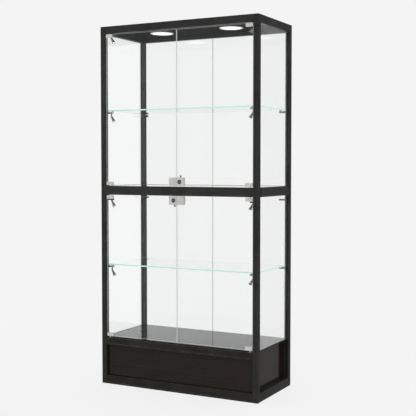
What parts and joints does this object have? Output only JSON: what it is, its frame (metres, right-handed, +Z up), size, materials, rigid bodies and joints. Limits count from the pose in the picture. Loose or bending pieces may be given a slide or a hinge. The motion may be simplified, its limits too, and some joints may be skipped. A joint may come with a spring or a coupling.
{
  "type": "display case",
  "caption": "Tall glass display case on a closed base, with a grooved metal frame, hinged and lockable glass doors, glass shelves and inside lights.",
  "frame": {"origin": "on the floor, at the middle of the case's footprint", "axes": "+X towards the case's right as seen from the front, +Y towards its back, +Z up"},
  "size_m": [0.8, 0.368, 1.655],
  "materials": {
    "frame": "satin dark bronze-black anodised section",
    "panel": "smooth black-brown laminate",
    "deck": "high gloss black",
    "pane_glass": "clear polished float glass",
    "shelf_glass": "clear float glass with polished green edges",
    "fittings": "polished",
    "barrel": "dark nickel",
    "lamp": "white diffuser",
    "spot": "satin",
    "socket": "moulded black"
  },
  "bodies": {
    "case": {"post_front_left": "frame", "post_front_right": "frame", "post_back_left": "frame", "post_back_right": "frame", "top_cap": "frame", "mid_rail_front": "frame", "mid_rail_back": "frame", "mid_rail_left": "frame", "mid_rail_right": "frame", "base_rail_front": "frame", "base_rail_left": "frame", "base_rail_right": "frame", "bottom_rail_front": "frame", "bottom_rail_left": "frame", "bottom_rail_right": "frame", "base_deck": "deck", "base_panel_front": "panel", "base_panel_left": "panel", "base_panel_right": "panel", "base_panel_back": "panel", "side_glass_upper_left": "pane_glass", "side_glass_upper_right": "pane_glass", "side_glass_lower_left": "pane_glass", "side_glass_lower_right": "pane_glass", "back_glass_upper_left": "pane_glass", "back_glass_upper_right": "pane_glass", "back_glass_lower_left": "pane_glass", "back_glass_lower_right": "pane_glass", "shelf_upper": "shelf_glass", "shelf_middle": "shelf_glass", "shelf_lower": "shelf_glass", "downlight_left": "lamp", "downlight_right": "lamp", "power_inlet": "socket"},
    "door_upper_left": {"door_upper_left": "pane_glass", "pivot_upper_left_top": "fittings", "pivot_upper_left_bottom": "fittings", "catch_plate_upper": "fittings"},
    "door_upper_right": {"door_upper_right": "pane_glass", "pivot_upper_right_top": "fittings", "pivot_upper_right_bottom": "fittings", "lock_body_upper": "fittings"},
    "door_lower_left": {"door_lower_left": "pane_glass", "pivot_lower_left_top": "fittings", "pivot_lower_left_bottom": "fittings", "lock_body_lower": "fittings"},
    "door_lower_right": {"door_lower_right": "pane_glass", "pivot_lower_right_top": "fittings", "pivot_lower_right_bottom": "fittings", "catch_plate_lower": "fittings"},
    "lock_upper": {"lock_cylinder_upper": "barrel"},
    "lock_lower": {"lock_cylinder_lower": "barrel"},
    "spot_top_left": {"spot_top_left": "spot"},
    "spot_top_right": {"spot_top_right": "spot"},
    "spot_upper_left": {"spot_upper_left": "spot"},
    "spot_upper_right": {"spot_upper_right": "spot"},
    "spot_middle_left": {"spot_middle_left": "spot"},
    "spot_middle_right": {"spot_middle_right": "spot"},
    "spot_lower_left": {"spot_lower_left": "spot"},
    "spot_lower_right": {"spot_lower_right": "spot"}
  },
  "joints": [
    {"name": "door_upper_left_swing", "type": "hinge", "parent": "case", "child": "door_upper_left", "pos_m": [-0.36, -0.1755, 0.93], "axis": [0, 0, 1], "range_deg": [-100, 0]},
    {"name": "door_upper_right_swing", "type": "hinge", "parent": "case", "child": "door_upper_right", "pos_m": [0.36, -0.1755, 0.93], "axis": [0, 0, 1], "range_deg": [0, 100]},
    {"name": "door_lower_left_swing", "type": "hinge", "parent": "case", "child": "door_lower_left", "pos_m": [-0.36, -0.1755, 0.2265], "axis": [0, 0, 1], "range_deg": [-100, 0]},
    {"name": "door_lower_right_swing", "type": "hinge", "parent": "case", "child": "door_lower_right", "pos_m": [0.36, -0.1755, 0.2265], "axis": [0, 0, 1], "range_deg": [0, 100]},
    {"name": "lock_upper_turn", "type": "hinge", "parent": "door_upper_right", "child": "lock_upper", "pos_m": [0.015, -0.17, 0.9453], "axis": [0, 1, 0], "range_deg": [-90, 0]},
    {"name": "lock_lower_turn", "type": "hinge", "parent": "door_lower_left", "child": "lock_lower", "pos_m": [-0.015, -0.17, 0.8627], "axis": [0, 1, 0], "range_deg": [-90, 0]},
    {"name": "spot_top_left_tilt", "type": "hinge", "parent": "case", "child": "spot_top_left", "pos_m": [-0.3615, -0.15, 1.6077], "axis": [0, 1, 0], "range_deg": [-45, 30]},
    {"name": "spot_top_right_tilt", "type": "hinge", "parent": "case", "child": "spot_top_right", "pos_m": [0.3615, -0.15, 1.6077], "axis": [0, 1, 0], "range_deg": [-30, 45]},
    {"name": "spot_upper_left_tilt", "type": "hinge", "parent": "case", "child": "spot_upper_left", "pos_m": [-0.3615, -0.15, 1.2457], "axis": [0, 1, 0], "range_deg": [-45, 30]},
    {"name": "spot_upper_right_tilt", "type": "hinge", "parent": "case", "child": "spot_upper_right", "pos_m": [0.3615, -0.15, 1.2457], "axis": [0, 1, 0], "range_deg": [-30, 45]},
    {"name": "spot_middle_left_tilt", "type": "hinge", "parent": "case", "child": "spot_middle_left", "pos_m": [-0.3615, -0.15, 0.8535], "axis": [0, 1, 0], "range_deg": [-45, 30]},
    {"name": "spot_middle_right_tilt", "type": "hinge", "parent": "case", "child": "spot_middle_right", "pos_m": [0.3615, -0.15, 0.8535], "axis": [0, 1, 0], "range_deg": [-30, 45]},
    {"name": "spot_lower_left_tilt", "type": "hinge", "parent": "case", "child": "spot_lower_left", "pos_m": [-0.3615, -0.15, 0.5302], "axis": [0, 1, 0], "range_deg": [-45, 30]},
    {"name": "spot_lower_right_tilt", "type": "hinge", "parent": "case", "child": "spot_lower_right", "pos_m": [0.3615, -0.15, 0.5302], "axis": [0, 1, 0], "range_deg": [-30, 45]}
  ]
}
